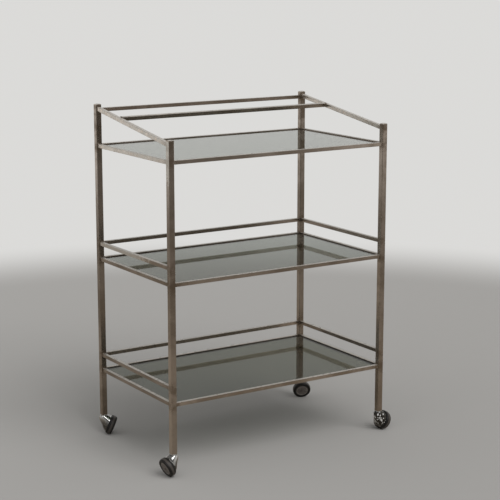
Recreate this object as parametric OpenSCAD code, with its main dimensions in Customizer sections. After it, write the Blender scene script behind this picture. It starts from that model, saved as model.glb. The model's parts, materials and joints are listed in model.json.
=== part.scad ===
// Bar cart: a frame of square steel tube on four hooded ball casters.
// Three glass shelves drop into ledged frames, the two lower shelves have a
// three-sided gallery rail, and the top has sloping side rails and a bottle rail.
// The origin is on the floor, midway between the four legs. X is to the right,
// Y to the back and Z up, and every height is measured from the floor.

/* [Legs] */
// Distance between the leg centres, side to side
leg_span_x = 635; // [450:1:900]
// Distance between the leg centres, front to back
leg_span_y = 371; // [300:1:520]
// Width of the square leg tube
leg_w = 15; // [14:0.5:20]
// Wall of the leg tube
leg_wall = 1.2; // [0.8:0.1:2]
// Outside corner radius of the leg tube
leg_r = 1.5; // [0.5:0.1:2.5]
// Height of the top of the front legs
front_leg_top = 830.7; // [810:0.1:900]
// Rise of the back legs above the front legs
back_leg_rise = 53.5; // [30:0.5:120]
// Thickness of a leg cap at its edge
cap_t = 1.1; // [0.8:0.1:2]
// Rise of the cap's domed top
cap_dome = 2.4; // [0.3:0.1:3]
// Depth of the cap's plug in the tube
cap_plug = 8; // [4:1:15]

/* [Shelf frames] */
// Height of the top of the bottom shelf frame
bottom_shelf_z = 184.8; // [130:0.2:260]
// Height of the top of the middle shelf frame
middle_shelf_z = 484.4; // [400:0.2:560]
// Drop from the tops of the front legs to the top of the top shelf frame
top_shelf_drop = 49.7; // [36:0.1:120]
// Step in from the face of a leg to the face of a bar or a lower gallery rail
bar_inset = 2.75; // [2:0.05:2.75]
// Corner radius of the bars and rails
bar_r = 0.8; // [0.3:0.1:1]
// Height of a lower gallery rail's top above its shelf frame's top
gallery_rise = 40.8; // [25:0.2:70]
// Width of the ledge under the edge of the glass
ledge_w = 6; // [4:0.5:10]
// Thickness of the ledge
ledge_t = 1.6; // [1:0.1:2]

/* [Top gallery] */
// Height of the top of the back rail below the top of the back legs
back_rail_drop = 11.2; // [4:0.1:30]
// Width of the square sloping rails and the bottle rail
slope_w = 10; // [8:0.5:13]
// Drop from the top of a back leg to the top of the sloping rail that meets it
slope_back_drop = 8.2; // [4:0.1:20]
// Drop from the top of a front leg to the top of the sloping rail that meets it
slope_front_drop = 6.9; // [4:0.1:20]
// Distance from the back leg centres forward to the middle of the bottle rail
bottle_gap = 120.5; // [60:0.5:180]
// Height of the bottle rail's centre line above that of the sloping rails
bottle_lift = 2; // [0:0.5:3]

/* [Glass] */
// Thickness of the glass
glass_t = 5; // [4:0.5:6]
// Depth of the glass's top face below the top of its frame
glass_recess = 2.6; // [0.5:0.1:2.8]
// Gap between the edge of the glass and its frame
glass_gap = 0.75; // [0.4:0.05:1.5]

/* [Wheel] */
// Radius of the wheel over its tread
wheel_r = 25.4; // [24:0.1:32]
// Distance from the wheel's centre to the front face of the tyre
tyre_front = 8; // [7.6:0.1:10]
// Distance from the wheel's centre to the back face of the tyre
tyre_back = 8; // [7.2:0.1:10]
// Radius of the tyre's shoulders
tyre_shoulder = 3; // [1.5:0.1:4]
// Outer radius of the wheel's rim, which carries the tyre
rim_r = 19; // [17:0.1:19.5]
// Thickness of the rim
rim_t = 3; // [2:0.1:4]
// Distance from the wheel's centre to the front face of the rim
rim_front = 5.6; // [5.4:0.1:6]
// Distance from the wheel's centre to the back face of the rim
rim_back = 7; // [6:0.1:7.2]
// Thickness of the wheel's web
web_t = 3; // [2:0.1:4]
// Number of ribs behind the web
rib_count = 6; // [3:1:10]
// Thickness of a rib
rib_t = 1.6; // [1:0.1:2.5]
// Outer radius of the hub
hub_r = 8; // [6:0.1:10]
// Distance from the wheel's centre to the front face of the hub
hub_front = 3.8; // [2:0.1:3.9]
// Distance from the wheel's centre to the back face of the hub
hub_back = 11.5; // [9:0.1:13]
// Radius of the axle
axle_r = 3; // [2.5:0.1:4]
// Radius of the axle's head
axle_head_r = 5; // [4.6:0.1:6.5]
// Thickness of the axle's head
axle_head_t = 1.2; // [0.8:0.1:1.2]
// Thickness of the hub cap
disc_t = 1.4; // [1:0.1:1.8]
// Height of the raised bead on the hub cap
bead_h = 0.5; // [0.3:0.1:0.8]
// Width of the raised bead
bead_w = 1.6; // [1:0.1:2.5]

/* [Hood and stem] */
// Tilt of the axle, front end down, in degrees
axle_tilt = 24; // [15:1:30]
// Distance from the stem's axis to the wheel's centre, along the axle
wheel_offset = 19; // [18:0.5:22]
// Distance from the stem's axis to the wheel's centre, along the rolling direction
wheel_trail = 3; // [0:0.5:6]
// Radius of the hood's dome, which is round the wheel's centre
dome_r = 22.5; // [21:0.1:24]
// Wall of the dome
dome_wall = 1.8; // [1.2:0.1:2.5]
// Gap between the back face of the tyre and the rim of the dome
rim_gap = 0.7; // [0.4:0.1:1.5]
// Radius of the round horn that holds the stem
horn_r = 12.4; // [10.5:0.1:13.5]
// Height of the horn's flat top above the wheel's centre
horn_rise = 29.2; // [28:0.1:34]
// Depth of the horn's centre below its flat top
horn_drop = 8.7; // [6:0.1:9.5]
// Slope of the horn's side towards the dome, in degrees
horn_taper = 19; // [10:1:20]
// Distance from the wheel's centre at which the horn starts
horn_start = 8; // [6:0.5:10]
// Radius of the boss that holds the axle inside the dome
axle_boss_r = 6.5; // [5:0.1:8]
// Radius of the stem
stem_r = 4; // [3:0.1:4.5]
// Length of the stem above the hood
stem_len = 33; // [20:1:45]
// Length of the stem's tapered tip
stem_tip = 3; // [1:0.5:5]
// Width and depth of the retaining ring's groove in the stem
groove = 0.6; // [0.3:0.1:1]
// Length of the socket in the leg
socket_len = 35; // [25:1:50]
// Thickness of the socket's flange under the leg
flange_t = 1; // [0.8:0.1:2]

/* [Swivel at rest] */
// Direction that the front left wheel faces, in degrees from +X
front_left_turn = 182; // [-180:1:360]
// Direction that the front right wheel faces
front_right_turn = 8; // [-180:1:360]
// Direction that the back left wheel faces
back_left_turn = -30; // [-180:1:360]
// Direction that the back right wheel faces
back_right_turn = 245; // [-180:1:360]

/* [Clearances] */
// Radial running gap of the stem in its socket and of the wheel on its axle
run_gap = 0.05; // [0.02:0.01:0.1]
// Gap between faces that turn against each other
face_gap = 0.3; // [0.2:0.05:0.5]
// Gap round a piece that is pressed or snapped into another
fit_gap = 0.02; // [0.01:0.01:0.05]

/* [Hidden] */
$fn = 96;

// Corners of the frame: side, depth and the direction in which the wheel faces
front_left = [-1, -1, front_left_turn];
front_right = [1, -1, front_right_turn];
back_left = [-1, 1, back_left_turn];
back_right = [1, 1, back_right_turn];

steel = [0.48, 0.45, 0.41];
chrome = [0.82, 0.83, 0.85];
smoked = [0.55, 0.58, 0.55, 0.5];
grey_plastic = [0.42, 0.41, 0.40];
black_rubber = [0.07, 0.07, 0.07];
pin_steel = [0.62, 0.62, 0.63];

back_leg_top = front_leg_top + back_leg_rise;
top_shelf_z = front_leg_top - top_shelf_drop;
bar_w = leg_w - 2 * bar_inset;

// Clear lengths between the legs
between_x = leg_span_x - leg_w;
between_y = leg_span_y - leg_w;
leg_in = leg_w - 2 * leg_wall;
leg_in_r = max(leg_r - leg_wall, 0.3);

// Glass, and the ledge that it lies on, from the middle of a bar
glass_x = leg_span_x - bar_w - 2 * glass_gap;
glass_y = leg_span_y - bar_w - 2 * glass_gap;
glass_clip = leg_w - bar_w - 2 * glass_gap + glass_gap * sqrt(2);
ledge_top = bar_w / 2 - glass_recess - glass_t;

// Sloping rails: their rise from the front legs to the back legs, and their centre line
slope_back_z = back_leg_top - slope_back_drop;
slope_front_z = front_leg_top - slope_front_drop;
slope = atan2(slope_back_z - slope_front_z, between_y);
slope_mid_z = (slope_back_z + slope_front_z) / 2 - slope_w / 2 / cos(slope);
bottle_y = leg_span_y / 2 - bottle_gap;
bottle_z = slope_mid_z + bottle_y * tan(slope) + bottle_lift;

// Tyre: the shoulder circles touch the faces and the round tread
shoulder_r = wheel_r - tyre_shoulder;
front_u = tyre_front - tyre_shoulder;
back_u = tyre_back - tyre_shoulder;
front_shoulder_x = sqrt(shoulder_r * shoulder_r - front_u * front_u);
back_shoulder_x = sqrt(shoulder_r * shoulder_r - back_u * back_u);
front_angle = atan2(front_u, front_shoulder_x);
back_angle = atan2(back_u, back_shoulder_x);

// The wheel stands on its front shoulder, which gives the height of its centre
hub_z = front_shoulder_x * cos(axle_tilt) + front_u * sin(axle_tilt) + tyre_shoulder;

// Hood: a dome behind the wheel, and a horn that leans from it to the stem
dome_in_r = dome_r - dome_wall;
dome_rim = tyre_back + rim_gap;
horn_top = hub_z + horn_rise;
horn_lean = [-wheel_offset, -wheel_trail, horn_rise - horn_drop];
horn_len = norm(horn_lean);
horn_side = horn_r * cos(horn_taper);
horn_end = horn_len + horn_r * sin(horn_taper);

// The stem and the axle end in the hood, just short of its cavity
end_wall = 0.5;
stem_side = norm([wheel_offset, wheel_trail]) - stem_r;
stem_foot = hub_z + sqrt(max(pow(dome_in_r + end_wall, 2) - pow(stem_side, 2), 0));
stem_top = horn_top + stem_len;
axle_end = dome_in_r - end_wall;
bore_r = axle_r + run_gap;
head_front = hub_front + face_gap + axle_head_t;

// The leg stands on the flange of its socket, clear of the turning horn
flange_z = horn_top + face_gap;
leg_bottom = flange_z + flange_t;

// Square section with round corners
module rounded_square(w, r) {
    square([w, w - 2 * r], center = true);
    square([w - 2 * r, w], center = true);
    for (x = [-1, 1], y = [-1, 1])
        translate([x * (w / 2 - r), y * (w / 2 - r)])
            circle(r);
}

// Stretches a section along X: the section's x points to the back and its y up
module along_x(length) {
    rotate([90, 0, 90])
        linear_extrude(length, center = true)
            children();
}

// Stretches a section along Y: the section's x points to the right and its y up
module along_y(length) {
    rotate([90, 0, 0])
        linear_extrude(length, center = true)
            children();
}

module at_leg(corner) {
    translate([corner[0] * leg_span_x / 2, corner[1] * leg_span_y / 2, 0])
        children();
}

function leg_top(corner) = corner[1] > 0 ? back_leg_top : front_leg_top;

// Height at which the tube ends and its cap begins
function tube_top(corner) = leg_top(corner) - cap_t - cap_dome;

module leg(corner) {
    color(steel)
        at_leg(corner)
            translate([0, 0, leg_bottom])
                linear_extrude(tube_top(corner) - leg_bottom)
                    difference() {
                        rounded_square(leg_w, leg_r);
                        rounded_square(leg_in, leg_in_r);
                    }
}

// Plug and plate that close the top of a leg, the plate domed
module leg_cap() {
    ball_r = (leg_w * leg_w / 2 + cap_dome * cap_dome) / (2 * cap_dome);
    translate([0, 0, -cap_plug])
        linear_extrude(cap_plug)
            rounded_square(leg_in - 2 * fit_gap, leg_in_r);
    intersection() {
        linear_extrude(cap_t + cap_dome)
            rounded_square(leg_w, leg_r);
        translate([0, 0, cap_t + cap_dome - ball_r])
            sphere(ball_r, $fn = 360);
    }
}

module leg_caps() {
    color(steel)
        for (corner = [front_left, front_right, back_left, back_right])
            at_leg(corner)
                translate([0, 0, tube_top(corner)])
                    leg_cap();
}

// Ledge section on the inner side of a bar, where inner is +1 or -1 along x
module ledge_section(inner) {
    width = bar_w / 2 + ledge_w;
    translate([inner > 0 ? 0 : -width, ledge_top - ledge_t])
        square([width, ledge_t]);
}

// Front or back bar of a shelf frame, with its ledge
module cross_bar(depth, top_z) {
    color(steel)
        translate([0, depth * leg_span_y / 2, top_z - bar_w / 2])
            along_x(between_x) {
                rounded_square(bar_w, bar_r);
                ledge_section(-depth);
            }
}

// Left or right bar of a shelf frame, whose ledge stops at those of the cross bars
module side_bar(side, top_z) {
    color(steel)
        translate([side * leg_span_x / 2, 0, top_z - bar_w / 2]) {
            along_y(between_y)
                rounded_square(bar_w, bar_r);
            along_y(leg_span_y - bar_w - 2 * ledge_w)
                ledge_section(-side);
        }
}

module back_rail(top_z) {
    color(steel)
        translate([0, leg_span_y / 2, top_z - bar_w / 2])
            along_x(between_x)
                rounded_square(bar_w, bar_r);
}

module side_rail(side, top_z) {
    color(steel)
        translate([side * leg_span_x / 2, 0, top_z - bar_w / 2])
            along_y(between_y)
                rounded_square(bar_w, bar_r);
}

// Sloping rail, with its ends cut upright against the legs
module top_side_rail(side) {
    color(steel)
        translate([side * leg_span_x / 2, 0, slope_mid_z])
            intersection() {
                rotate([slope, 0, 0])
                    along_y(leg_span_y)
                        rounded_square(slope_w, bar_r);
                cube([2 * slope_w, between_y, leg_span_y], center = true);
            }
}

// Bottle rail, turned to the slope and welded between the sloping rails
module bottle_rail() {
    color(steel)
        translate([0, bottle_y, bottle_z])
            rotate([slope, 0, 0])
                along_x(leg_span_x - slope_w)
                    rounded_square(slope_w, bar_r);
}

// Glass plate with its corners clipped to pass the legs
module glass(top_z) {
    half_x = glass_x / 2;
    half_y = glass_y / 2;
    color(smoked)
        translate([0, 0, top_z - glass_recess - glass_t])
            linear_extrude(glass_t)
                polygon([
                    [half_x - glass_clip, -half_y], [half_x, -half_y + glass_clip],
                    [half_x, half_y - glass_clip], [half_x - glass_clip, half_y],
                    [-half_x + glass_clip, half_y], [-half_x, half_y - glass_clip],
                    [-half_x, -half_y + glass_clip], [-half_x + glass_clip, -half_y]
                ]);
}

// Socket in the foot of a leg, with the bore that the stem turns in
module socket(corner) {
    color(grey_plastic)
        at_leg(corner)
            difference() {
                union() {
                    translate([0, 0, flange_z])
                        linear_extrude(flange_t)
                            rounded_square(leg_w, leg_r);
                    translate([0, 0, leg_bottom])
                        linear_extrude(socket_len)
                            rounded_square(leg_in - 2 * fit_gap, leg_in_r);
                }
                translate([0, 0, flange_z - 1])
                    cylinder(h = socket_len + flange_t + 2, r = stem_r + run_gap);
            }
}

// Caster frame: the stem's axis is Z and the wheel faces along X
module at_caster(corner) {
    at_leg(corner)
        rotate([0, 0, corner[2]])
            children();
}

// Wheel frame: Z is the axle, out of the wheel's face, and X points down its plane
module on_axle() {
    translate([wheel_offset, wheel_trail, hub_z])
        rotate([0, 90 + axle_tilt, 0])
            children();
}

// Solid dome behind the wheel, turned about the axle
module dome() {
    on_axle()
        rotate_extrude()
            intersection() {
                circle(dome_r);
                translate([0, -dome_r])
                    square([dome_r, dome_r - dome_rim]);
            }
}

// Solid horn: a cone that leans from the dome to the stem, closed by a round end
module horn() {
    base = horn_side + (horn_end - horn_start) * tan(horn_taper);
    translate([wheel_offset, wheel_trail, hub_z])
        rotate([0, acos(horn_lean[2] / horn_len), atan2(horn_lean[1], horn_lean[0])])
            rotate_extrude() {
                intersection() {
                    translate([0, horn_len])
                        circle(horn_r);
                    translate([0, horn_len])
                        square(horn_r);
                }
                polygon([[0, horn_start], [base, horn_start], [horn_side, horn_end], [0, horn_end]]);
            }
}

// Space inside the dome, round the boss that holds the axle
module cavity() {
    on_axle()
        rotate_extrude()
            difference() {
                intersection() {
                    circle(dome_in_r);
                    translate([0, -dome_r])
                        square(dome_r);
                }
                translate([-1, -dome_r])
                    square([axle_boss_r + 1, dome_r - hub_back - face_gap]);
            }
}

// Hood: the dome and the horn, cut flat behind the tyre and under the leg
module hood() {
    clear = 3 * dome_r;
    color(chrome)
        difference() {
            union() {
                dome();
                horn();
            }
            on_axle()
                translate([0, 0, -dome_rim])
                    cylinder(h = clear, r = clear);
            translate([0, 0, horn_top])
                cylinder(h = clear, r = clear);
            cavity();
            on_axle()
                translate([0, 0, -axle_end])
                    cylinder(h = axle_end, r = axle_r + fit_gap);
            translate([0, 0, stem_foot])
                cylinder(h = clear, r = stem_r + fit_gap);
        }
}

// Stem: fast in the hood's horn, grooved for a retaining ring, with a tapered tip
module stem() {
    ring_z = stem_top - stem_tip - 2 * groove;
    color(pin_steel)
        rotate_extrude()
            polygon([
                [0, stem_foot],
                [stem_r, stem_foot],
                [stem_r, ring_z - groove],
                [stem_r - groove, ring_z - groove],
                [stem_r - groove, ring_z],
                [stem_r, ring_z],
                [stem_r, stem_top - stem_tip],
                [stem_r * 0.7, stem_top],
                [0, stem_top]
            ]);
}

// Axle: fast in the hood, with a head that keeps the wheel on
module axle() {
    color(pin_steel)
        on_axle() {
            translate([0, 0, -axle_end])
                cylinder(h = axle_end + head_front, r = axle_r);
            translate([0, 0, head_front - axle_head_t])
                cylinder(h = axle_head_t, r = axle_head_r);
        }
}

// Wheel centre: hub, web, ribs and rim
module wheel() {
    color(grey_plastic)
        on_axle()
            difference() {
                union() {
                    translate([0, 0, -hub_back])
                        cylinder(h = hub_back + hub_front, r = hub_r);
                    translate([0, 0, -web_t])
                        cylinder(h = web_t, r = rim_r - rim_t / 2);
                    rotate_extrude()
                        translate([rim_r - rim_t, -rim_back])
                            square([rim_t, rim_back + rim_front]);
                    for (i = [0 : rib_count - 1])
                        rotate([0, 0, i * 360 / rib_count])
                            translate([hub_r - 1, -rib_t / 2, 1 - rim_back])
                                cube([rim_r - rim_t / 2 - hub_r + 1, rib_t, rim_back - 1 - web_t / 2]);
                }
                translate([0, 0, -hub_back - 1])
                    cylinder(h = hub_back + hub_front + 2, r = bore_r);
            }
}

// Tyre: a round tread between two faces, with round shoulders
module tyre() {
    far = 2 * wheel_r;
    color(black_rubber)
        on_axle()
            rotate_extrude()
                difference() {
                    union() {
                        intersection() {
                            circle(wheel_r);
                            polygon([
                                [0, 0],
                                [far * cos(back_angle), -far * sin(back_angle)],
                                [far * cos(front_angle), far * sin(front_angle)]
                            ]);
                        }
                        translate([front_shoulder_x, front_u])
                            circle(tyre_shoulder);
                        translate([back_shoulder_x, -back_u])
                            circle(tyre_shoulder);
                        square([front_shoulder_x, tyre_front]);
                        translate([0, -tyre_back])
                            square([back_shoulder_x, tyre_back]);
                    }
                    translate([-wheel_r, -wheel_r])
                        square([wheel_r + rim_r + fit_gap, 2 * wheel_r]);
                }
}

// Hub cap: a disc that snaps into the rim, with a raised bead
module hub_cap() {
    disc_r = rim_r - 5 * fit_gap;
    skirt_r = rim_r - rim_t - 5 * fit_gap;
    bead_r = rim_r - rim_t;
    color(grey_plastic)
        on_axle()
            rotate_extrude() {
                translate([0, rim_front])
                    square([disc_r, disc_t]);
                translate([skirt_r - 1.2, rim_front - 1.5])
                    square([1.2, 2]);
                translate([bead_r - bead_w, rim_front])
                    square([bead_w, disc_t + bead_h]);
            }
}

leg(front_left);  // leg_front_left
leg(front_right);  // leg_front_right
leg(back_left);  // leg_back_left
leg(back_right);  // leg_back_right
leg_caps();

back_rail(back_leg_top - back_rail_drop);  // top_back_rail
top_side_rail(-1);  // top_left_rail
top_side_rail(1);  // top_right_rail
bottle_rail();

cross_bar(-1, top_shelf_z);  // top_front_bar
cross_bar(1, top_shelf_z);  // top_back_bar
side_bar(-1, top_shelf_z);  // top_left_bar
side_bar(1, top_shelf_z);  // top_right_bar
cross_bar(-1, middle_shelf_z);  // middle_front_bar
cross_bar(1, middle_shelf_z);  // middle_back_bar
side_bar(-1, middle_shelf_z);  // middle_left_bar
side_bar(1, middle_shelf_z);  // middle_right_bar
cross_bar(-1, bottom_shelf_z);  // bottom_front_bar
cross_bar(1, bottom_shelf_z);  // bottom_back_bar
side_bar(-1, bottom_shelf_z);  // bottom_left_bar
side_bar(1, bottom_shelf_z);  // bottom_right_bar

back_rail(middle_shelf_z + gallery_rise);  // middle_back_rail
side_rail(-1, middle_shelf_z + gallery_rise);  // middle_left_rail
side_rail(1, middle_shelf_z + gallery_rise);  // middle_right_rail
back_rail(bottom_shelf_z + gallery_rise);  // bottom_back_rail
side_rail(-1, bottom_shelf_z + gallery_rise);  // bottom_left_rail
side_rail(1, bottom_shelf_z + gallery_rise);  // bottom_right_rail

glass(top_shelf_z);  // top_glass
glass(middle_shelf_z);  // middle_glass
glass(bottom_shelf_z);  // bottom_glass

socket(front_left);  // front_left_socket
at_caster(front_left) hood();  // front_left_hood
at_caster(front_left) stem();  // front_left_stem
at_caster(front_left) axle();  // front_left_axle
at_caster(front_left) wheel();  // front_left_wheel
at_caster(front_left) tyre();  // front_left_tyre
at_caster(front_left) hub_cap();  // front_left_hub_cap

socket(front_right);  // front_right_socket
at_caster(front_right) hood();  // front_right_hood
at_caster(front_right) stem();  // front_right_stem
at_caster(front_right) axle();  // front_right_axle
at_caster(front_right) wheel();  // front_right_wheel
at_caster(front_right) tyre();  // front_right_tyre
at_caster(front_right) hub_cap();  // front_right_hub_cap

socket(back_left);  // back_left_socket
at_caster(back_left) hood();  // back_left_hood
at_caster(back_left) stem();  // back_left_stem
at_caster(back_left) axle();  // back_left_axle
at_caster(back_left) wheel();  // back_left_wheel
at_caster(back_left) tyre();  // back_left_tyre
at_caster(back_left) hub_cap();  // back_left_hub_cap

socket(back_right);  // back_right_socket
at_caster(back_right) hood();  // back_right_hood
at_caster(back_right) stem();  // back_right_stem
at_caster(back_right) axle();  // back_right_axle
at_caster(back_right) wheel();  // back_right_wheel
at_caster(back_right) tyre();  // back_right_tyre
at_caster(back_right) hub_cap();  // back_right_hub_cap
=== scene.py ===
import json
import math

import bmesh
import bpy
import numpy as np
from mathutils import Matrix, Vector


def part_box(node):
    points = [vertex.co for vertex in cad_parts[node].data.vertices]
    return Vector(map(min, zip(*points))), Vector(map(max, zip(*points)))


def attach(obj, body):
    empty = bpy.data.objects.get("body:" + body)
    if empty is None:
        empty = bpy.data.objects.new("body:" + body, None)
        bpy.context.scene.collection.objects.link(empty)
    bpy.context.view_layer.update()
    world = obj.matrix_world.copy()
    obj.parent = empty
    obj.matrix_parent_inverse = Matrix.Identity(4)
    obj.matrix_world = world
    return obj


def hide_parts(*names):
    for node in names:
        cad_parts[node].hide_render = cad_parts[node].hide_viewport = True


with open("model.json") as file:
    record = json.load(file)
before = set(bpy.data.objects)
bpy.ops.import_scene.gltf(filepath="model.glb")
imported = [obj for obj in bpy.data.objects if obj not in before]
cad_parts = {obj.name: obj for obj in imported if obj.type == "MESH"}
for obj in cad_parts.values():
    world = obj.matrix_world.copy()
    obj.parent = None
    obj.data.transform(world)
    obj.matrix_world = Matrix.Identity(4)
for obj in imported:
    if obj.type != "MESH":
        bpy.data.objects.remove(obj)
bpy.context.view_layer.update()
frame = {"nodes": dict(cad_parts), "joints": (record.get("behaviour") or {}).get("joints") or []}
nodes = frame["nodes"]
corners = ("front_left", "front_right", "back_left", "back_right")
shelves = ("top", "middle", "bottom")
print("frame loaded:", len(nodes), "nodes")


# Camera, at the photograph's angle
camera = {
    "place": (-2.01148, -3.15662, 1.26729),
    "pitch": 78.4,  # degrees up from straight down
    "yaw": -32.85,
    "lens": 105.1,
    "sensor": 36.0,
    "clipEnd": 60,
}


def makeCamera():
    lens = bpy.data.cameras.new("photoCamera")
    lens.lens = camera["lens"]
    lens.sensor_width = camera["sensor"]
    lens.clip_end = camera["clipEnd"]
    eye = bpy.data.objects.new("photoCamera", lens)
    eye.location = camera["place"]
    eye.rotation_euler = (math.radians(camera["pitch"]), 0, math.radians(camera["yaw"]))
    bpy.context.scene.collection.objects.link(eye)
    bpy.context.scene.camera = eye


makeCamera()
bpy.context.scene.view_settings.view_transform = "Standard"
print("camera placed")


# Small helpers for node trees and meshes
def addNode(tree, kind, inputs=None, **settings):
    made = tree.nodes.new(kind)
    for key, value in settings.items():
        setattr(made, key, value)
    for key, value in (inputs or {}).items():
        made.inputs[key].default_value = value
    return made


def feed(tree, socket, value):
    # A plain value is set on the socket, and anything else is linked to it
    if isinstance(value, (int, float, tuple)):
        socket.default_value = value
    else:
        tree.links.new(value, socket)


def mathNode(tree, operation, first, second=None):
    made = addNode(tree, "ShaderNodeMath", operation=operation)
    feed(tree, made.inputs[0], first)
    if second is not None:
        feed(tree, made.inputs[1], second)
    return made.outputs[0]


def times(tree, first, second):
    return mathNode(tree, "MULTIPLY", first, second)


def plus(tree, first, second):
    return mathNode(tree, "ADD", first, second)


def weighed(tree, *pairs):
    # The sum of some values, each times its weight
    total = None
    for value, weight in pairs:
        part = times(tree, value, weight)
        total = part if total is None else plus(tree, total, part)
    return total


def mixColour(tree, amount, first, second, blend="MIX"):
    made = addNode(tree, "ShaderNodeMix", data_type="RGBA", blend_type=blend)
    for place, value in ((0, amount), (6, first), (7, second)):
        feed(tree, made.inputs[place], value)
    return made.outputs[2]


def mixShader(tree, amount, first, second):
    made = addNode(tree, "ShaderNodeMixShader")
    for place, value in enumerate((amount, first, second)):
        tree.links.new(value, made.inputs[place])
    return made.outputs[0]


def remap(tree, value, low, high, toLow=0.0, toHigh=1.0, kind="LINEAR"):
    # The pairs and fours of numbers in the finishes below go in here: low and high, then the same
    # of the result
    made = addNode(tree, "ShaderNodeMapRange", {
        "From Min": low, "From Max": high, "To Min": toLow, "To Max": toHigh}, interpolation_type=kind)
    tree.links.new(value, made.inputs["Value"])
    return made.outputs["Result"]


def fade(tree, value, low, high, toLow=0.0, toHigh=1.0):
    # A remap that eases in and out
    return remap(tree, value, low, high, toLow, toHigh, "SMOOTHSTEP")


def separate(tree, vector):
    made = addNode(tree, "ShaderNodeSeparateXYZ")
    tree.links.new(vector, made.inputs[0])
    return made.outputs


def objectPlace(tree):
    return addNode(tree, "ShaderNodeTexCoord").outputs["Object"]


def stretched(tree, scale):
    # Object coordinates, squeezed so that a noise runs along one axis
    mapping = addNode(tree, "ShaderNodeMapping", {"Scale": scale})
    tree.links.new(objectPlace(tree), mapping.inputs["Vector"])
    return mapping.outputs["Vector"]


def noise(tree, where, scale, detail, roughness):
    made = addNode(tree, "ShaderNodeTexNoise", {
        "Scale": scale, "Detail": detail, "Roughness": roughness, "Distortion": 0.0})
    tree.links.new(where, made.inputs["Vector"])
    return made.outputs["Fac"]


def scattered(tree, where, scale):
    # How far it is to the nearest of many scattered points
    made = addNode(tree, "ShaderNodeTexVoronoi", {"Scale": scale, "Randomness": 1.0})
    tree.links.new(where, made.inputs["Vector"])
    return made.outputs["Distance"]


def newMaterial(name):
    made = bpy.data.materials.new(name)
    made.use_nodes = True
    made.node_tree.nodes.clear()
    output = made.node_tree.nodes.new("ShaderNodeOutputMaterial")
    return made, made.node_tree, output


def dress(tree, output, height, relief, sockets):
    # The shader at a finish's end; relief is the bump's strength and distance
    bump = addNode(tree, "ShaderNodeBump", {"Strength": relief[0], "Distance": relief[1]})
    tree.links.new(height, bump.inputs["Height"])
    skin = addNode(tree, "ShaderNodeBsdfPrincipled")
    for key, value in sockets.items():
        feed(tree, skin.inputs[key], value)
    tree.links.new(bump.outputs[0], skin.inputs["Normal"])
    tree.links.new(skin.outputs[0], output.inputs["Surface"])


def newPiece(name, shape, material, body, smooth=True):
    mesh = bpy.data.meshes.new(name)
    shape.to_mesh(mesh)
    shape.free()
    for polygon in mesh.polygons:
        polygon.use_smooth = smooth
    piece = bpy.data.objects.new(name, mesh)
    bpy.context.scene.collection.objects.link(piece)
    mesh.materials.append(material)
    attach(piece, body)
    return piece


# Stage: a pale floor that runs out into a paler backdrop, and plain soft light
stage = {
    "floorRadius": 14.0,
    "floorSides": 96,
    "floorColour": (0.40, 0.39, 0.375, 1),
    "floorRoughness": 0.6,
    "floorEnds": (1.9, 2.7),  # where the floor turns into the backdrop
    "mirroredNear": (0.43, 0.39, 0.335, 1),  # the floor as metal and glass see it near the cart
    "mirroredFar": (0.27, 0.245, 0.215, 1),  # and far from it
    "mirroredFades": (0.7, 3.0),
    "mirroredEnds": (3.2, 5.2),
    "backdropColour": (0.71, 0.705, 0.69, 1),
    "skyColour": (1, 1, 1, 1),
    "skyStrength": 0.62,
    "sunStrength": 1.15,
    "sunTurn": (38, -14, 24),  # degrees
    "sunAngle": 42,
}

# The room as metal and glass see it: the way to each side, and the cosines where it fades in
room = {
    "front": (0.155, 0.145, 0.134, 1),
    "right": (0.70, 0.68, 0.65, 1),
    "rightWay": (1, 0, 0),
    "rightFades": (0.46, 0.72),
    "left": (0.42, 0.415, 0.40, 1),
    "leftWay": (-1, 0, 0),
    "leftFades": (0.48, 0.62),
    "backWay": (-0.25, 0.97, 0.0),
    "backFades": (-0.30, 0.25),
    "backHigh": (0.35, 0.35, 0.34, 1),  # the backdrop higher up
    "backHighFades": (0.14, 0.265),  # sines of the angle above the floor, as the ceiling's are
    "ceiling": (0.17, 0.165, 0.16, 1),
    "ceilingFades": (0.42, 0.62),
    "panel": (1.0, 0.99, 0.97, 1),
    "panels": (  # the way to each, and the cosines at its edge and core
        ((-0.55, -0.15, 0.82), 0.90, 0.95),
        ((0.45, 0.50, 0.74), 0.93, 0.97),
        ((-0.47, 0.88, -0.06), 0.9880, 0.9975),
    ),
}


def towards(tree, direction, way, low, high):
    # 1 where the direction points along a way, 0 away from it
    along = addNode(tree, "ShaderNodeVectorMath", operation="DOT_PRODUCT")
    along.inputs[1].default_value = way
    tree.links.new(direction, along.inputs[0])
    return fade(tree, along.outputs["Value"], low, high)


def roomShade(tree, direction):
    # Pale behind the cart, dark in front of it, lighter to the sides, and soft panels of light
    height = separate(tree, direction)["Z"]
    back = mixColour(tree, fade(tree, height, *room["backHighFades"]),
                     stage["backdropColour"], room["backHigh"])
    shade = mixColour(tree, towards(tree, direction, room["rightWay"], *room["rightFades"]),
                      room["front"], room["right"])
    shade = mixColour(tree, towards(tree, direction, room["backWay"], *room["backFades"]), shade, back)
    shade = mixColour(tree, towards(tree, direction, room["leftWay"], *room["leftFades"]),
                      shade, room["left"])
    shade = mixColour(tree, fade(tree, height, *room["ceilingFades"]), shade, room["ceiling"])
    for way, low, high in room["panels"]:
        length = math.hypot(*way)
        amount = towards(tree, direction, tuple(v / length for v in way), low, high)
        shade = mixColour(tree, amount, shade, room["panel"])
    return shade


def seenPlainly(tree, ray):
    # 1 for what the camera sees, also through glass
    return mathNode(tree, "MAXIMUM", ray["Is Camera Ray"], ray["Is Transmission Ray"])


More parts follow.
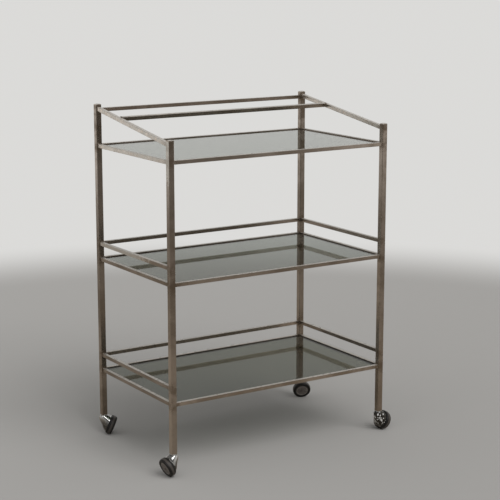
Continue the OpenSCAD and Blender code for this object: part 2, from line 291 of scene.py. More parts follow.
def makeWorld():
    world = bpy.data.worlds.new("softStudio")
    bpy.context.scene.world = world
    world.use_nodes = True
    tree = world.node_tree
    tree.nodes.clear()
    light = addNode(tree, "ShaderNodeBackground", {
        "Color": stage["skyColour"], "Strength": stage["skyStrength"]})
    seen = addNode(tree, "ShaderNodeBackground", {"Color": stage["backdropColour"], "Strength": 1.0})
    mirrored = addNode(tree, "ShaderNodeBackground", {"Strength": 1.0})
    direction = addNode(tree, "ShaderNodeTexCoord").outputs["Generated"]
    tree.links.new(roomShade(tree, direction), mirrored.inputs["Color"])
    ray = addNode(tree, "ShaderNodeLightPath").outputs
    shown = mixShader(tree, seenPlainly(tree, ray), light.outputs[0], seen.outputs[0])
    shown = mixShader(tree, ray["Is Glossy Ray"], shown, mirrored.outputs[0])
    output = addNode(tree, "ShaderNodeOutputWorld")
    tree.links.new(shown, output.inputs["Surface"])


def floorMaterial():
    made, tree, output = newMaterial("paleFloor")
    place = objectPlace(tree)
    length = addNode(tree, "ShaderNodeVectorMath", operation="LENGTH")
    tree.links.new(place, length.inputs[0])
    away = length.outputs["Value"]
    ray = addNode(tree, "ShaderNodeLightPath").outputs
    mirrored = ray["Is Glossy Ray"]
    mirrorColour = mixColour(tree, remap(tree, away, *stage["mirroredFades"]),
                             stage["mirroredNear"], stage["mirroredFar"])
    matt = addNode(tree, "ShaderNodeBsdfDiffuse", {"Roughness": stage["floorRoughness"]})
    tree.links.new(mixColour(tree, mirrored, stage["floorColour"], mirrorColour), matt.inputs["Color"])
    # Beyond its edge the floor shows the backdrop, which metal sees further off
    unit = addNode(tree, "ShaderNodeVectorMath", operation="NORMALIZE")
    tree.links.new(place, unit.inputs[0])
    shade = mixColour(tree, mirrored, stage["backdropColour"], roomShade(tree, unit.outputs["Vector"]))
    glow = addNode(tree, "ShaderNodeEmission", {"Strength": 1.0})
    tree.links.new(shade, glow.inputs["Color"])
    amount = mathNode(tree, "MAXIMUM",
                      times(tree, fade(tree, away, *stage["floorEnds"]), seenPlainly(tree, ray)),
                      times(tree, fade(tree, away, *stage["mirroredEnds"]), mirrored))
    tree.links.new(mixShader(tree, amount, matt.outputs[0], glow.outputs[0]), output.inputs["Surface"])
    return made


def makeStage():
    shape = bmesh.new()
    bmesh.ops.create_circle(shape, cap_ends=True, segments=stage["floorSides"],
                            radius=stage["floorRadius"])
    mesh = bpy.data.meshes.new("floor")
    shape.to_mesh(mesh)
    shape.free()
    mesh.materials.append(floorMaterial())
    floor = bpy.data.objects.new("floor", mesh)
    bpy.context.scene.collection.objects.link(floor)
    lamp = bpy.data.lights.new("softSun", "SUN")
    lamp.energy = stage["sunStrength"]
    lamp.angle = math.radians(stage["sunAngle"])
    sun = bpy.data.objects.new("softSun", lamp)
    sun.rotation_euler = tuple(math.radians(a) for a in stage["sunTurn"])
    bpy.context.scene.collection.objects.link(sun)


makeWorld()
makeStage()
print("stage and light made")


# Aged nickel on the frame: satin, brown near the welds, bright where it is worn, with painted light and
# shade on each part, a painted highlight on some faces that look left and a painted sheen with the dust
# on faces that look up
nickel = {
    "clean": (0.47, 0.405, 0.35, 1),
    "dull": (0.33, 0.275, 0.225, 1),
    "brown": (0.16, 0.115, 0.075, 1),
    "wornOrLit": (0.66, 0.62, 0.565, 1),
    "pit": (0.11, 0.085, 0.06, 1),
    # Dust, which also paints a pale sheen on faces that look up
    "dust": (0.56, 0.53, 0.485, 1),
    # Noises: scale, detail and roughness
    "broad": (9, 4, 0.55),
    "cloudy": (55, 4, 0.6),
    "fine": (700, 2, 0.6),
    "grain": (1.0, 4, 0.7),
    "rub": (150, 5, 0.72),
    # Clouds of dull metal, and how far the grain lightens and darkens it
    "cloudShare": 0.4,
    "dullFades": (0.55, 0.86),
    "grainFades": (0.3, 0.7),
    "streaks": 0.10,
    # Stain: how far it reaches up and down from a weld, and out from a leg's middle
    "weldHeights": (0.180, 0.221, 0.4795, 0.5205, 0.776, 0.820, 0.868),
    "stainUp": (0.006, 0.026),
    "stainOut": (0.008, 0.032),
    "stainFades": (0.35, 0.6),
    "stainLeast": 0.2,
    "stainCover": 0.6,
    # Wear, in patches and on the legs' edges, which are measured from a leg's middle, and a painted
    # highlight on some faces that look left
    "legX": 0.3175,
    "legY": 0.1855,
    "legHalf": 0.009,
    "edge": (0.0066, 0.0074),
    "edgeWear": 0.10,
    "leftLitFace": (-0.5, -0.85),  # how far a face looks to the left, where the painted highlight falls
    "wornOrLitFades": (0.64, 0.78),
    # Pits, in the dull places only
    "pitScale": 210.0,
    "pitSize": (0.08, 0.17),
    "pitPlaces": (0.52, 0.66),
    "pitCover": 0.55,
    # Dust on the faces that look up, less metallic, which also paints a pale sheen on them
    "dustSheenFaces": (0.5, 0.85),
    "dustSheenCover": 0.85,
    "dustSheenFades": (0.3, 0.6, 0.7, 1.0),
    "dustSheenShine": 0.35,
    # Roughness, and what stain, wear with its painted highlight, and dust with its painted sheen add to
    # it
    "cloudRough": 0.6,
    "stainRough": 0.3,
    "roughness": (0.2, 0.6, 0.17, 0.34),
    "wornOrLitRough": 0.12,
    "dustSheenRough": 0.12,
    # Bump: the height of each noise, then strength and distance
    "grainHeight": 0.5,
    "fineHeight": 0.2,
    "pitHeight": -0.5,
    "cloudHeight": 0.4,
    "relief": (0.16, 0.0003),
}


def fromLeg(tree, parts):
    # Distances from the nearest leg's middle, along X and along Y
    found = []
    for key, value in (("X", "legX"), ("Y", "legY")):
        across = mathNode(tree, "ABSOLUTE", parts[key])
        found.append(mathNode(tree, "ABSOLUTE", mathNode(tree, "SUBTRACT", across, nickel[value])))
    return found


def nearWeld(tree, parts):
    # 1 at a weld and 0 some way off it, on legs and on bars
    nearest = None
    for height in nickel["weldHeights"]:
        away = mathNode(tree, "ABSOLUTE", mathNode(tree, "SUBTRACT", parts["Z"], height))
        nearest = away if nearest is None else mathNode(tree, "MINIMUM", nearest, away)
    out = mathNode(tree, "MAXIMUM", *fromLeg(tree, parts))
    return times(tree, fade(tree, nearest, *nickel["stainUp"], 1.0, 0.0),
                 fade(tree, out, *nickel["stainOut"], 1.0, 0.0))


def wornOrLitMetal(tree, place, parts, facing, worn, paintedLitEnd):
    # Bright metal where hands and trays have rubbed: in patches, and on the legs' edges; and a painted
    # highlight on faces that look left, along part of a tube
    wear = noise(tree, place, *nickel["rub"])
    across, deep = fromLeg(tree, parts)
    corner = mathNode(tree, "MINIMUM", across, deep)
    onLeg = mathNode(tree, "LESS_THAN", mathNode(tree, "MAXIMUM", across, deep), nickel["legHalf"])
    edges = times(tree, fade(tree, corner, *nickel["edge"], 0.0, nickel["edgeWear"]), onLeg)
    if paintedLitEnd:
        axis, start, end, amount = paintedLitEnd
        leftLit = fade(tree, facing["X"], *nickel["leftLitFace"], 0.0, amount)
        edges = plus(tree, edges, times(tree, leftLit, fade(tree, parts[axis], start, end)))
    low, high = nickel["wornOrLitFades"]
    return fade(tree, plus(tree, wear, edges), low - worn, high - worn)


def agedNickel(name, grain, paintedLightScale=1.0, worn=0.0, stained=1.0, paintedLitEnd=None):
    made, tree, output = newMaterial(name)
    place = objectPlace(tree)
    parts = separate(tree, place)
    facing = separate(tree, addNode(tree, "ShaderNodeNewGeometry").outputs["Normal"])
    broad = noise(tree, place, *nickel["broad"])
    cloudy = noise(tree, place, *nickel["cloudy"])
    fine = noise(tree, place, *nickel["fine"])
    along = noise(tree, stretched(tree, grain), *nickel["grain"])
    clouds = plus(tree, broad, times(tree, cloudy, nickel["cloudShare"]))
    colour = mixColour(tree, fade(tree, clouds, *nickel["dullFades"]), nickel["clean"], nickel["dull"])
    # The colour is scaled lighter or darker for each part, as painted light and shade
    streak = remap(tree, along, *nickel["grainFades"],
                   paintedLightScale * (1 - nickel["streaks"]), paintedLightScale * (1 + nickel["streaks"]))
    colour = mixColour(tree, 1.0, colour, streak, "MULTIPLY")
    # Heat tint and flux stain round the welds
    stain = times(tree, nearWeld(tree, parts),
                  fade(tree, cloudy, *nickel["stainFades"], nickel["stainLeast"], stained))
    colour = mixColour(tree, times(tree, stain, nickel["stainCover"]), colour, nickel["brown"])
    wornOrLit = wornOrLitMetal(tree, place, parts, facing, worn, paintedLitEnd)
    # Worn bare metal, with a painted highlight on some faces that look left
    colour = mixColour(tree, wornOrLit, colour, nickel["wornOrLit"])
    pits = scattered(tree, place, nickel["pitScale"])
    pitted = times(tree, fade(tree, pits, *nickel["pitSize"], 1.0, 0.0),
                   fade(tree, broad, *nickel["pitPlaces"]))
    colour = mixColour(tree, times(tree, pitted, nickel["pitCover"]), colour, nickel["pit"])
    # Dust on faces that look up, which also paints a pale sheen there
    dustSheen = times(tree, fade(tree, facing["Z"], *nickel["dustSheenFaces"], 0.0, nickel["dustSheenCover"]),
                 remap(tree, cloudy, *nickel["dustSheenFades"]))
    colour = mixColour(tree, dustSheen, colour, nickel["dust"])
    rough = weighed(tree, (cloudy, nickel["cloudRough"]), (stain, nickel["stainRough"]))
    rough = remap(tree, rough, *nickel["roughness"])
    rough = plus(tree, rough, weighed(tree, (wornOrLit, nickel["wornOrLitRough"]), (dustSheen, nickel["dustSheenRough"])))
    height = weighed(tree, (along, nickel["grainHeight"]), (fine, nickel["fineHeight"]),
                     (pitted, nickel["pitHeight"]), (cloudy, nickel["cloudHeight"]))
    dress(tree, output, height, nickel["relief"], {
        "Base Color": colour, "Roughness": rough,
        "Metallic": remap(tree, dustSheen, 0.0, 1.0, 1.0, nickel["dustSheenShine"])})
    return made


# The grain runs along each tube. The lit end, where given, gives an axis, where along it a painted
# highlight on faces that look left starts and is full, and how strong it is
upright, crossways, endways = (1300, 1300, 30), (30, 1300, 1300), (1300, 30, 1300)
# Each tube's light scale paints that part lighter or darker, as painted light and shade
tubes = {
    "legNickel_front_left": {"grain": upright, "paintedLightScale": 0.97, "paintedLitEnd": ("Z", 0.68, 0.79, 0.42)},
    "legNickel_front_right": {"grain": upright, "paintedLightScale": 1.04},
    "legNickel_back_left": {"grain": upright, "paintedLightScale": 0.80},
    "legNickel_back_right": {"grain": upright, "paintedLightScale": 0.87},
    "crossNickel": {"grain": crossways, "paintedLightScale": 1.12},
    "sideNickel": {"grain": endways, "paintedLightScale": 0.94, "worn": 0.02},
    "lowSideNickel": {"grain": endways, "paintedLightScale": 0.72},
    "wornLitNickel": {"grain": endways, "paintedLightScale": 1.45, "worn": 0.26},
    "halfWornLitNickel": {"grain": endways, "paintedLightScale": 1.15, "worn": 0.02,
                         "paintedLitEnd": ("Y", -0.14, 0.08, 0.60)},
    "capNickel": {"grain": (90, 90, 90), "paintedLightScale": 1.2, "worn": 0.12, "stained": 0.3},
}


def setFinish(node, material):
    nodes[node].material_slots[0].material = material


def finishFrame():
    made = {name: agedNickel(name, **values) for name, values in tubes.items()}
    for corner in corners:
        setFinish("leg_" + corner, made["legNickel_" + corner])
    setFinish("leg_caps", made["capNickel"])
    setFinish("top_back_rail", made["crossNickel"])
    setFinish("bottle_rail", made["crossNickel"])
    for shelf in shelves:
        for side in ("front", "back"):
            setFinish(f"{shelf}_{side}_bar", made["crossNickel"])
        if shelf != "top":
            setFinish(f"{shelf}_back_rail", made["crossNickel"])
        sideFinish = made["lowSideNickel" if shelf == "bottom" else "sideNickel"]
        for side in ("left", "right"):
            setFinish(f"{shelf}_{side}_bar", sideFinish)
            setFinish(f"{shelf}_{side}_rail", sideFinish)
    for name in ("top_left_rail", "top_right_rail", "top_left_bar"):
        setFinish(name, made["wornLitNickel"])
    setFinish("middle_left_rail", made["halfWornLitNickel"])


finishFrame()
print("frame finished")


# Weld seams: a row of small beads round the end of each bar and rail
weld = {
    "radius": 0.00115,
    "spacing": 0.0013,
    "spread": 0.22,  # how far the beads' sizes differ
    "seed": 7,
    "fineness": 2,
    "inset": 0.0004,
    "cut": 0.8,  # where a loop's cut corners start, as a share of its half edge
    "railSlope": 8.35,  # degrees
    "bottleHalf": 0.005,  # half the bottle rail's width
    "colour": (0.34, 0.29, 0.235, 1),
    "burnt": (0.16, 0.115, 0.08, 1),
    "burntFades": (0.4, 0.62),
    "broad": (45, 3, 0.6),
    "fine": (900, 2, 0.5),
    "roughness": (0.3, 0.7, 0.34, 0.52),
    "relief": (0.4, 0.0003),
}


def weldMaterial():
    made, tree, output = newMaterial("weldBead")
    place = objectPlace(tree)
    broad = noise(tree, place, *weld["broad"])
    colour = mixColour(tree, fade(tree, broad, *weld["burntFades"]), weld["colour"], weld["burnt"])
    dress(tree, output, noise(tree, place, *weld["fine"]), weld["relief"], {
        "Base Color": colour, "Metallic": 1.0, "Roughness": remap(tree, broad, *weld["roughness"])})
    return made


def weldTree():
    tree = bpy.data.node_groups.new("weldSeam", "GeometryNodeTree")
    face = tree.interface
    face.new_socket("Geometry", in_out="INPUT", socket_type="NodeSocketGeometry")
    for name in ("Bead Radius", "Bead Spacing", "Bead Spread"):
        face.new_socket(name, in_out="INPUT", socket_type="NodeSocketFloat")
    face.new_socket("Seed", in_out="INPUT", socket_type="NodeSocketInt")
    face.new_socket("Bead Material", in_out="INPUT", socket_type="NodeSocketMaterial")
    face.new_socket("Geometry", in_out="OUTPUT", socket_type="NodeSocketGeometry")
    given = addNode(tree, "NodeGroupInput").outputs
    result = addNode(tree, "NodeGroupOutput")
    path = addNode(tree, "GeometryNodeMeshToCurve")
    steps = addNode(tree, "GeometryNodeResampleCurve", mode="LENGTH")
    bead = addNode(tree, "GeometryNodeMeshIcoSphere", {"Subdivisions": weld["fineness"]})
    place = addNode(tree, "GeometryNodeInstanceOnPoints")
    tangent = addNode(tree, "GeometryNodeInputTangent")
    turn = addNode(tree, "FunctionNodeAlignRotationToVector", axis="Z")
    size = addNode(tree, "FunctionNodeRandomValue", data_type="FLOAT")
    real = addNode(tree, "GeometryNodeRealizeInstances")
    smooth = addNode(tree, "GeometryNodeSetShadeSmooth")
    paint = addNode(tree, "GeometryNodeSetMaterial")
    link = tree.links.new
    link(given["Geometry"], path.inputs["Mesh"])
    link(path.outputs["Curve"], steps.inputs["Curve"])
    link(given["Bead Spacing"], steps.inputs["Length"])
    link(steps.outputs["Curve"], place.inputs["Points"])
    link(given["Bead Radius"], bead.inputs["Radius"])
    link(bead.outputs["Mesh"], place.inputs["Instance"])
    link(tangent.outputs["Tangent"], turn.inputs["Vector"])
    link(turn.outputs["Rotation"], place.inputs["Rotation"])
    link(mathNode(tree, "SUBTRACT", 1.0, given["Bead Spread"]), size.inputs[2])
    link(plus(tree, 1.0, given["Bead Spread"]), size.inputs[3])
    link(given["Seed"], size.inputs["Seed"])
    link(size.outputs[1], place.inputs["Scale"])
    link(place.outputs["Instances"], real.inputs["Geometry"])
    link(real.outputs["Geometry"], smooth.inputs["Geometry"])
    link(smooth.outputs["Geometry"], paint.inputs["Geometry"])
    link(given["Bead Material"], paint.inputs["Material"])
    link(paint.outputs["Geometry"], result.inputs["Geometry"])
    return tree


def setInput(modifier, name, value):
    for item in modifier.node_group.interface.items_tree:
        if item.item_type == "SOCKET" and item.in_out == "INPUT" and item.name == name:
            modifier[item.identifier] = value


def grow(name, paths, tree, values, body):
    # Runs a tree on a mesh of edges and keeps the result as a plain mesh
    mesh = bpy.data.meshes.new(name + "Path")
    paths.to_mesh(mesh)
    paths.free()
    carrier = bpy.data.objects.new(name + "Path", mesh)
    bpy.context.scene.collection.objects.link(carrier)
    modifier = carrier.modifiers.new(name, "NODES")
    modifier.node_group = tree
    for key, value in values.items():
        setInput(modifier, key, value)
    seen = carrier.evaluated_get(bpy.context.evaluated_depsgraph_get())
    grown = bpy.data.meshes.new_from_object(seen)
    carrier.modifiers.clear()
    bpy.data.objects.remove(carrier)
    bpy.data.meshes.remove(mesh)
    grown.name = name
    piece = bpy.data.objects.new(name, grown)
    bpy.context.scene.collection.objects.link(piece)
    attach(piece, body)


def boxOf(name):
    return (Vector(v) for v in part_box(name))


def addLoop(shape, centre, first, second):
    # A closed loop with cut corners, given by its centre and its two half edges
    cut = weld["cut"]
    around = ((-1, -cut), (-cut, -1), (cut, -1), (1, -cut), (1, cut), (cut, 1), (-cut, 1), (-1, cut))
    ring = [shape.verts.new(centre + first * a + second * b) for a, b in around]
    for a, b in zip(ring, ring[1:] + ring[:1]):
        shape.edges.new((a, b))


def addSeams(shape, name):
    # A level tube fills its box's height, and lies at the side that looks out
    low, high = boxOf(name)
    width = high.z - low.z
    run, across = (0, 1) if high.x - low.x > high.y - low.y else (1, 0)
    centre = Vector((0, 0, low.z + width / 2))
    centre[across] = low[across] + width / 2 if low[across] < 0 else high[across] - width / 2
    half = width / 2 - weld["inset"]
    side = Vector((0, half, 0) if across else (half, 0, 0))
    for end in (low[run], high[run]):
        centre[run] = end
        addLoop(shape, centre, side, Vector((0, 0, half)))


def addSlopingSeams(shape, slope):
    # The sloping rails meet the legs on upright cuts
    low, high = boxOf("top_left_rail")
    wide = (high.x - low.x) / 2
    tall = wide / math.cos(slope)
    for side in (-1, 1):
        x = side * (abs(low.x + high.x) / 2)
        for y, z in ((low.y, low.z + tall), (high.y, high.z - tall)):
            addLoop(shape, Vector((x, y, z)), Vector((wide - weld["inset"], 0, 0)),
                    Vector((0, 0, tall - weld["inset"])))
    # The bottle rail meets the sloping rails, turned to their slope
    low, high = boxOf("bottle_rail")
    middle = (low + high) / 2
    half = weld["bottleHalf"] - weld["inset"]
    for x in (low.x, high.x):
        addLoop(shape, Vector((x, middle.y, middle.z)),
                Vector((0, math.cos(slope), math.sin(slope))) * half,
                Vector((0, -math.sin(slope), math.cos(slope))) * half)


def makeWelds():
    shape = bmesh.new()
    for shelf in shelves:
        for side in ("front", "back", "left", "right"):
            addSeams(shape, f"{shelf}_{side}_bar")
        if shelf != "top":
            for side in ("back", "left", "right"):
                addSeams(shape, f"{shelf}_{side}_rail")
    addSeams(shape, "top_back_rail")
    addSlopingSeams(shape, math.radians(weld["railSlope"]))
    grow("weldSeams", shape, weldTree(), {
        "Bead Radius": weld["radius"], "Bead Spacing": weld["spacing"], "Bead Spread": weld["spread"],
        "Seed": weld["seed"], "Bead Material": weldMaterial()}, "cart_frame")


makeWelds()
print("welds made")


# Smoked glass plates with ground edges
glass = {
    "tint": (0.225, 0.25, 0.215, 1),
    "ior": 1.5,
    "dust": (26, 4, 0.6),
    "dustRoughness": (0.45, 0.75, 0.015, 0.05),
    "edgeColour": (0.10, 0.13, 0.12, 1),
    "ground": (300, 3, 0.6),
    "groundRoughness": (0.3, 0.7, 0.25, 0.45),
    "edgeRound": 0.0007,
    "edgeSegments": 3,
    "edgeProfile": 0.5,  # a round edge
    "sharpAngle": 30,  # degrees
    "flatAngle": 1,
    "merge": 1e-6,
    "upFace": 0.999,
}


def smokedGlass():
    made, tree, output = newMaterial("smokedGlass")
    dust = noise(tree, objectPlace(tree), *glass["dust"])
    clear = addNode(tree, "ShaderNodeBsdfPrincipled", {
        "Base Color": glass["tint"], "IOR": glass["ior"], "Transmission Weight": 1.0})
    tree.links.new(remap(tree, dust, *glass["dustRoughness"]), clear.inputs["Roughness"])
    tree.links.new(clear.outputs[0], output.inputs["Surface"])
    return made


def groundEdge():
    made, tree, output = newMaterial("groundGlassEdge")
    ground = noise(tree, objectPlace(tree), *glass["ground"])
    edge = addNode(tree, "ShaderNodeBsdfPrincipled", {
        "Base Color": glass["edgeColour"], "IOR": glass["ior"]})
    tree.links.new(remap(tree, ground, *glass["groundRoughness"]), edge.inputs["Roughness"])
    tree.links.new(edge.outputs[0], output.inputs["Surface"])
    return made


def makeGlass(name, pane, edge):
    copy = nodes[name + "_glass"].data.copy()
    shape = bmesh.new()
    shape.from_mesh(copy)
    bpy.data.meshes.remove(copy)
    bmesh.ops.remove_doubles(shape, verts=shape.verts, dist=glass["merge"])
    bmesh.ops.dissolve_limit(shape, angle_limit=math.radians(glass["flatAngle"]),
                             verts=shape.verts, edges=shape.edges)
    sharp = [e for e in shape.edges if e.calc_face_angle(0) > math.radians(glass["sharpAngle"])]
    bmesh.ops.bevel(shape, geom=sharp, offset=glass["edgeRound"], segments=glass["edgeSegments"],
                    profile=glass["edgeProfile"], affect="EDGES")
    bmesh.ops.recalc_face_normals(shape, faces=shape.faces)
    for face in shape.faces:
        face.material_index = 0 if abs(face.normal.z) > glass["upFace"] else 1
    piece = newPiece(name + "GlassPlate", shape, pane, "cart_frame", smooth=False)
    piece.data.materials.append(edge)
    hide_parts(name + "_glass")


pane, edge = smokedGlass(), groundEdge()
for shelf in shelves:
    makeGlass(shelf, pane, edge)
print("glass made")


# Plain caster parts, each clean in some places and dirty in others
plain = {
    "dirtFades": (0.42, 0.68),
    "roughFades": (0.35, 0.7),
    "fine": (900, 2, 0.5),
    "relief": (0.3, 0.0002),
}
wheelPlastic = {
    "clean": (0.125, 0.108, 0.097, 1),
    "dirty": (0.19, 0.168, 0.152, 1),
    "clouds": (90, 4, 0.62),
    "rough": (0.35, 0.55),  # clean and dirty
    "metallic": 0.0,
}
pinSteel = {
    "clean": (0.50, 0.49, 0.47, 1),
    "dirty": (0.33, 0.30, 0.265, 1),
    "clouds": (150, 4, 0.62),
    "rough": (0.25, 0.4),
    "metallic": 1.0,
}
socketGrey = {
    "clean": (0.52, 0.50, 0.47, 1),
    "dirty": (0.30, 0.27, 0.235, 1),
    "clouds": (150, 4, 0.62),
    "rough": (0.35, 0.5),
    "metallic": 0.0,
}


def plainFinish(name, kind):
    made, tree, output = newMaterial(name)
    place = objectPlace(tree)
    cloudy = noise(tree, place, *kind["clouds"])
    colour = mixColour(tree, fade(tree, cloudy, *plain["dirtFades"]), kind["clean"], kind["dirty"])
    dress(tree, output, noise(tree, place, *plain["fine"]), plain["relief"], {
        "Base Color": colour, "Metallic": kind["metallic"],
        "Roughness": remap(tree, cloudy, *plain["roughFades"], *kind["rough"])})
    return made


# Old chrome on the hoods: dimpled and spotted, with grime and painted shade that thicken towards the
# floor
chrome = {
    "grimeAndShade": (0.050, 0.045, 0.039, 1),
    "grimeAndShadeCover": 0.94,
    "grimy": (160, 4, 0.6),
    "grimyFades": (0.3, 0.6, 0.72, 1.0),
    "warpScale": 220,
    "smoothness": 0.4,
    "spotScale": 330.0,
    "spotSize": (0.18, 0.40),
    "spotCover": 0.9,
    "patches": (80, 3, 0.6),
    "patchFades": (0.66, 0.76),
    "patchReach": 0.26,
    "fine": (1400, 2, 0.6),
    "spotHeight": -0.05,
    "fineHeight": 0.01,
    "relief": (1.0, 0.002),
    "cleanRough": 0.05,
    "grimyRough": 0.34,
}
chromePlate = {
    "colour": (0.60, 0.60, 0.59, 1),
    "domes": 110,
    "domeHeight": 0.10,
    "warp": 0.012,
    "spotted": 0.35,
    "grimeAndShadeHeights": (0.053, 0.028),
}
chromePaintedDots = {  # the front right hood: the domes' middles painted white as highlights, with a painted dark reflection between them
    "colour": (1.0, 1.0, 0.99, 1),
    "domes": 175,
    "domeHeight": 1.0,
    "warp": 0.0055,
    "spotted": 0.10,
    "grimeAndShadeHeights": (0.030, 0.012),
    "paintedDark": 0.98,
    "paintedDarkFades": (0.27, 0.40),
    "paintedDotMetallic": 0.35,
}


def domeCells(tree, place, old):
    # Distances from the middles of shallow domes side by side, each of which catches the light once
    wobble = addNode(tree, "ShaderNodeTexNoise", {"Scale": chrome["warpScale"]})
    tree.links.new(place, wobble.inputs["Vector"])
    cells = addNode(tree, "ShaderNodeTexVoronoi", {
        "Scale": old["domes"], "Randomness": 1.0, "Smoothness": chrome["smoothness"]},
        feature="SMOOTH_F1")
    warped = mixColour(tree, old["warp"], place, wobble.outputs["Color"])
    tree.links.new(warped, cells.inputs["Vector"])
    return cells.outputs["Distance"]


def pittedChrome(name, old):
    made, tree, output = newMaterial(name)
    place = objectPlace(tree)
    cells = domeCells(tree, place, old)
    domes = times(tree, mathNode(tree, "POWER", cells, 2.0), -old["domeHeight"])
    low, high = (v - chrome["patchReach"] * old["spotted"] for v in chrome["patchFades"])
    spots = scattered(tree, place, chrome["spotScale"])
    spots = times(tree, fade(tree, spots, *chrome["spotSize"], 1.0, 0.0),
                  fade(tree, noise(tree, place, *chrome["patches"]), low, high))
    # Grime and painted shade lie low on the hood, and grime in the spots
    floorward = fade(tree, separate(tree, place)["Z"], *old["grimeAndShadeHeights"], 0.0, chrome["grimeAndShadeCover"])
    grimeAndShade = times(tree, floorward,
                  remap(tree, noise(tree, place, *chrome["grimy"]), *chrome["grimyFades"]))
    grimeAndShade = mathNode(tree, "MAXIMUM", grimeAndShade, times(tree, spots, chrome["spotCover"]))
    metallic = 1.0
    if "paintedDark" in old:
        # Between the domes a dark colour paints the reflection dark, and the less metallic middles show
        # the white colour as painted highlights
        paintedDark = fade(tree, cells, *old["paintedDarkFades"], 0.0, old["paintedDark"])
        grimeAndShade = mathNode(tree, "MAXIMUM", grimeAndShade, paintedDark)
        metallic = remap(tree, grimeAndShade, 0.0, 1.0, old["paintedDotMetallic"], 1.0)
    fine = noise(tree, place, *chrome["fine"])
    small = weighed(tree, (spots, chrome["spotHeight"]), (fine, chrome["fineHeight"]))
    dress(tree, output, plus(tree, domes, small), chrome["relief"], {
        "Base Color": mixColour(tree, grimeAndShade, old["colour"], chrome["grimeAndShade"]),
        "Roughness": remap(tree, grimeAndShade, 0.0, 1.0, chrome["cleanRough"], chrome["grimyRough"]),
        "Metallic": metallic})
    return made


# Tyres and hub caps, turned about an axle. Each ring on them has its inner and outer radius as
# shares of the tyre's, the softness of its edges, its colour, and how much it covers
turned = {
    "clouds": (120, 4, 0.65),
    "dirtFades": (0.40, 0.66),
    "ringFades": (0.3, 0.6),
    "ringLeast": 0.6,
    "roughFades": (0.35, 0.7),
    "fine": (1100, 2, 0.5),
    "cloudHeight": 0.8,
    "relief": (0.4, 0.00015),
    "specular": 0.35,
}
rubber = {
    "clean": (0.007, 0.0065, 0.006, 1),
    "dirty": (0.015, 0.013, 0.012, 1),
    "rough": (0.38, 0.6),
    "rings": ((0.9925, 1.2, 0.003, (0.075, 0.064, 0.056, 1), 0.95),),  # the dusty tread
}
hub = {
    "clean": wheelPlastic["clean"],
    "dirty": wheelPlastic["dirty"],
    "rough": wheelPlastic["rough"],
    "rings": (
        (0.555, 0.630, 0.008, (0.28, 0.25, 0.23, 1), 0.8),  # the raised bead
        (0.668, 0.80, 0.012, (0.012, 0.011, 0.010, 1), 0.9),  # painted shade in the groove at the rim
        (0.0, 0.118, 0.010, (0.012, 0.011, 0.010, 1), 0.5),  # the middle
    ),
}


def turnedFinish(name, kind):
    made, tree, output = newMaterial(name)
    place = objectPlace(tree)
    ring = addNode(tree, "ShaderNodeAttribute", attribute_name="ring", attribute_type="GEOMETRY")
    out = ring.outputs["Fac"]
    cloudy = noise(tree, place, *turned["clouds"])
    colour = mixColour(tree, fade(tree, cloudy, *turned["dirtFades"]), kind["clean"], kind["dirty"])
    for low, high, soft, shade, amount in kind["rings"]:
        band = times(tree, fade(tree, out, low - soft, low + soft),
                     fade(tree, out, high - soft, high + soft, 1.0, 0.0))
        cover = remap(tree, cloudy, *turned["ringFades"], turned["ringLeast"] * amount, amount)
        colour = mixColour(tree, times(tree, band, cover), colour, shade)
    height = plus(tree, noise(tree, place, *turned["fine"]), times(tree, cloudy, turned["cloudHeight"]))
    dress(tree, output, height, turned["relief"], {
        "Base Color": colour, "Specular IOR Level": turned["specular"],
        "Roughness": remap(tree, cloudy, *turned["roughFades"], *kind["rough"])})
    return made


plateFinish = pittedChrome("pittedChrome", chromePlate)
paintedDotFinish = pittedChrome("spottedChrome", chromePaintedDots)
tyreRubber = turnedFinish("tyreRubber", rubber)
hubPlastic = turnedFinish("hubPlastic", hub)
wheelFace = plainFinish("wheelFace", wheelPlastic)
turnedPin = plainFinish("turnedPin", pinSteel)
socketPlastic = plainFinish("socketPlastic", socketGrey)

for corner in corners:
    for part, finish in (("stem", turnedPin), ("axle", turnedPin),
                         ("wheel", wheelFace), ("socket", socketPlastic)):
        setFinish(f"{corner}_{part}", finish)
print("caster finishes made")


def jointOf(name):
    return next(joint for joint in frame["joints"] if joint["name"] == name)


def wheelPlace(corner):
    # Z out of the wheel's face, X down its plane, at the wheel's centre
    roll = jointOf(corner + "_roll")
    out = Vector(roll["axis"]).normalized()
    down = (Vector((0, 0, -1)) - out * -out.z).normalized()
    side = out.cross(down)
    turn = Matrix((down, side, out)).transposed().to_4x4()
    return Matrix.Translation(Vector(roll["pos_m"])) @ turn


# Hood: the dome and the horn run into each other, with a rolled lip behind the tyre
hood = {
    "dome": 0.0225,
    "inside": 0.0207,
    "rim": 0.0087,  # behind the wheel's centre
    "hornRadius": 0.0124,
    "hornCentre": 0.045481,  # height of the horn's round end
    "hornTop": 0.054181,
    "hornStart": 0.008,
    "hornBlend": 0.002,
    "taper": 19,  # degrees, and the lengths are in metres
    "lip": 0.0008,
    "lipOut": 0.0206,
    "lipBack": 0.0094,
    "lipBlend": 0.0006,
    "blend": 0.0032,
    "edge": 0.0009,
    "eye": 0.013,  # the point that the rows look out from, behind the wheel's centre
    "nearest": 0.002,  # the skin is looked for between these distances from the eye
    "furthest": 0.06,
    "halvings": 40,
    "rows": 168,
    "columns": 128,
    "innerRows": 22,
}


def smoothMin(first, second, width):
    share = np.clip(0.5 + 0.5 * (second - first) / width, 0, 1)
    return second * (1 - share) + first * share - width * share * (1 - share)


